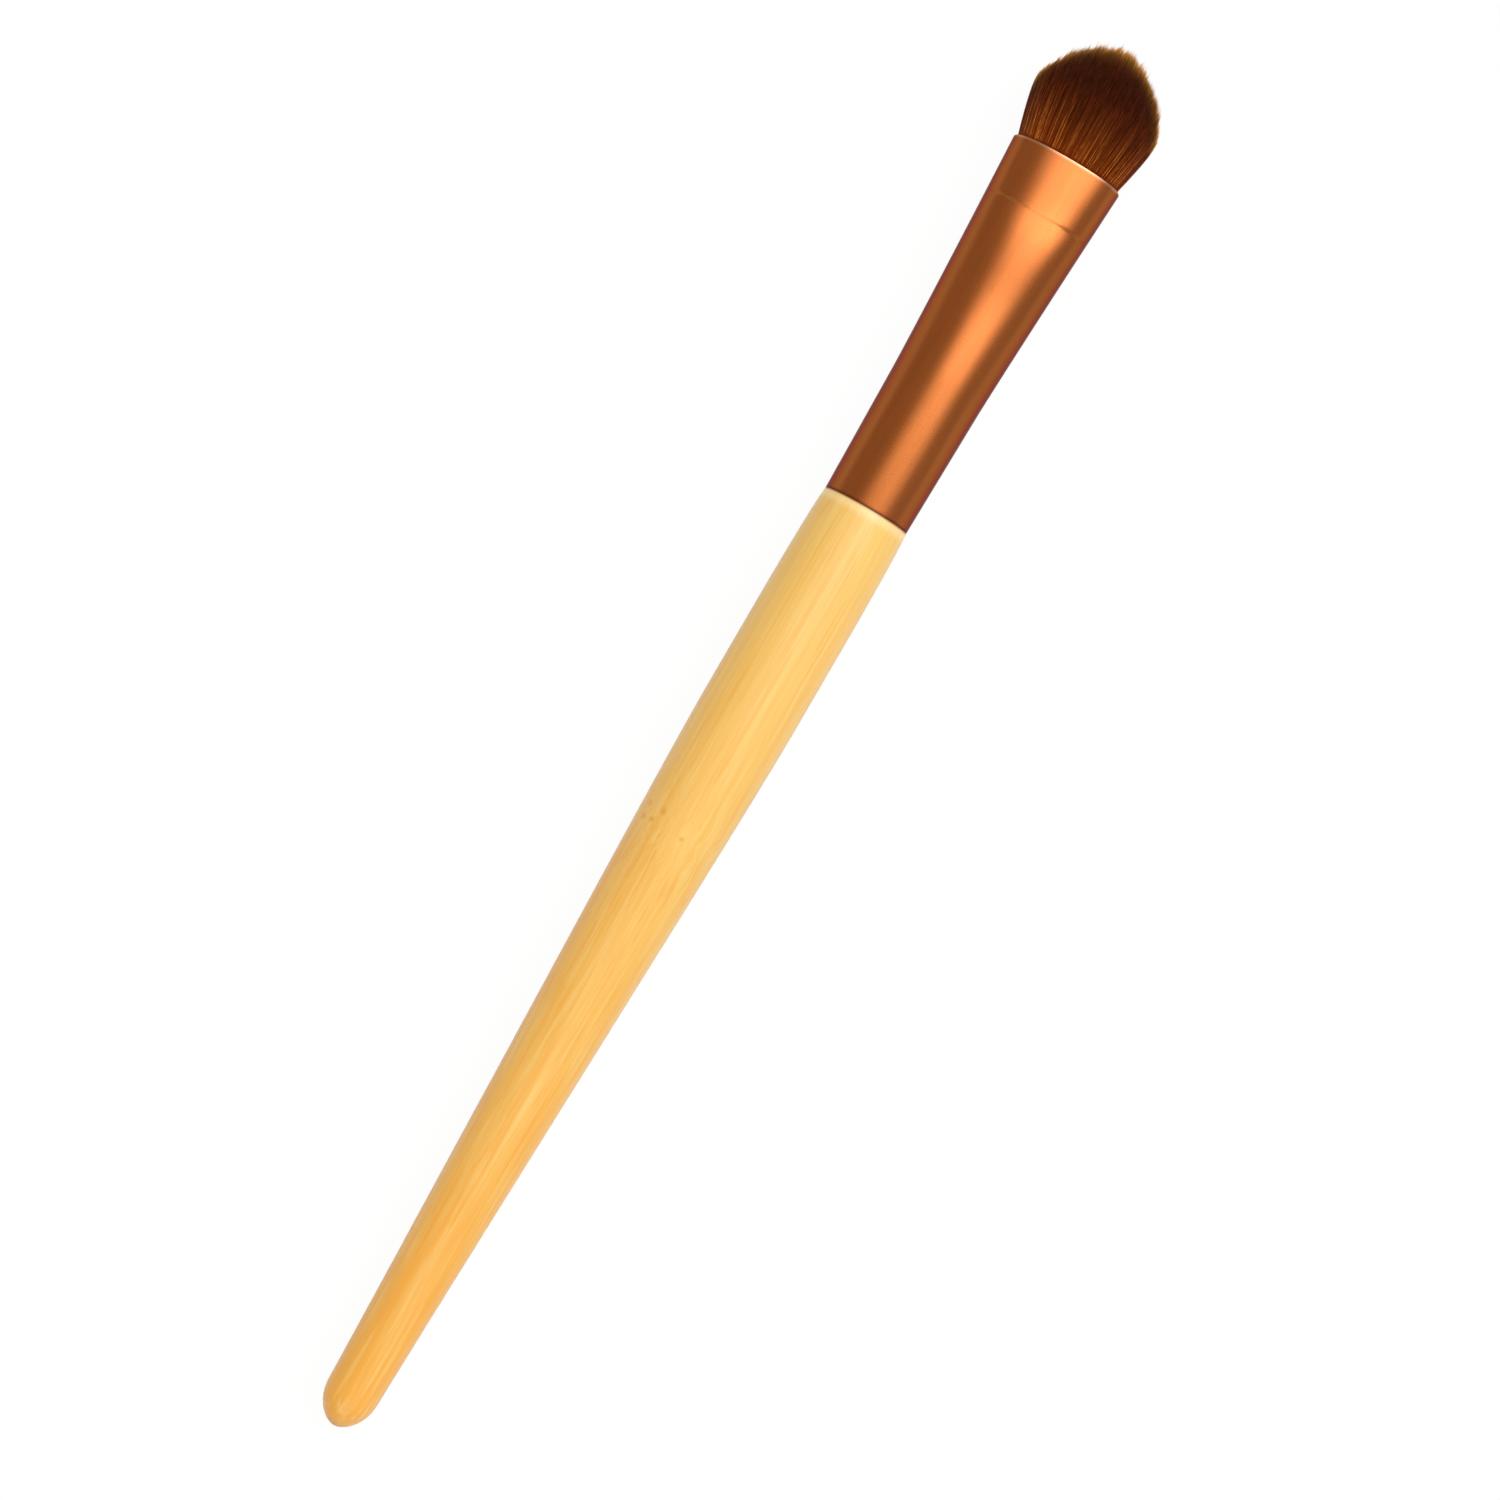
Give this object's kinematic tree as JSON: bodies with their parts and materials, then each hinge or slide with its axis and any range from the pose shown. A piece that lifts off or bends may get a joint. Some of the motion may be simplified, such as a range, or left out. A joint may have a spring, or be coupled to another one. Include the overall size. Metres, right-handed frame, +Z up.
{
  "type": "eyeshadow brush",
  "caption": "Flat make-up brush with a domed fibre tuft, a satin metal ferrule pressed from round to oval, and a tapered bamboo handle.",
  "frame": {"origin": "bottom centre of the brush's box as it lies on its widest stretch: halfway along its length, on its long axis in Y, 5 mm below that axis", "axes": "+X along the handle towards the tip of the tuft, +Z up, square to the wide faces of the ferrule's mouth and the tuft, +Y to the side that the tip leans to"},
  "size_m": [0.1599, 0.0141, 0.01],
  "materials": {
    "bamboo": "clear satin lacquer",
    "ferrule_metal": "copper-coloured satin anodised",
    "fibre": "brown synthetic filament",
    "epoxy": "cured clear amber resin",
    "white_glue": "cured off-white glue"
  },
  "bodies": {
    "root": {"handle": "bamboo", "ferrule": "ferrule_metal", "bristle_tuft": "fibre", "root_plug": "epoxy", "handle_glue": "white_glue"}
  },
  "joints": []
}
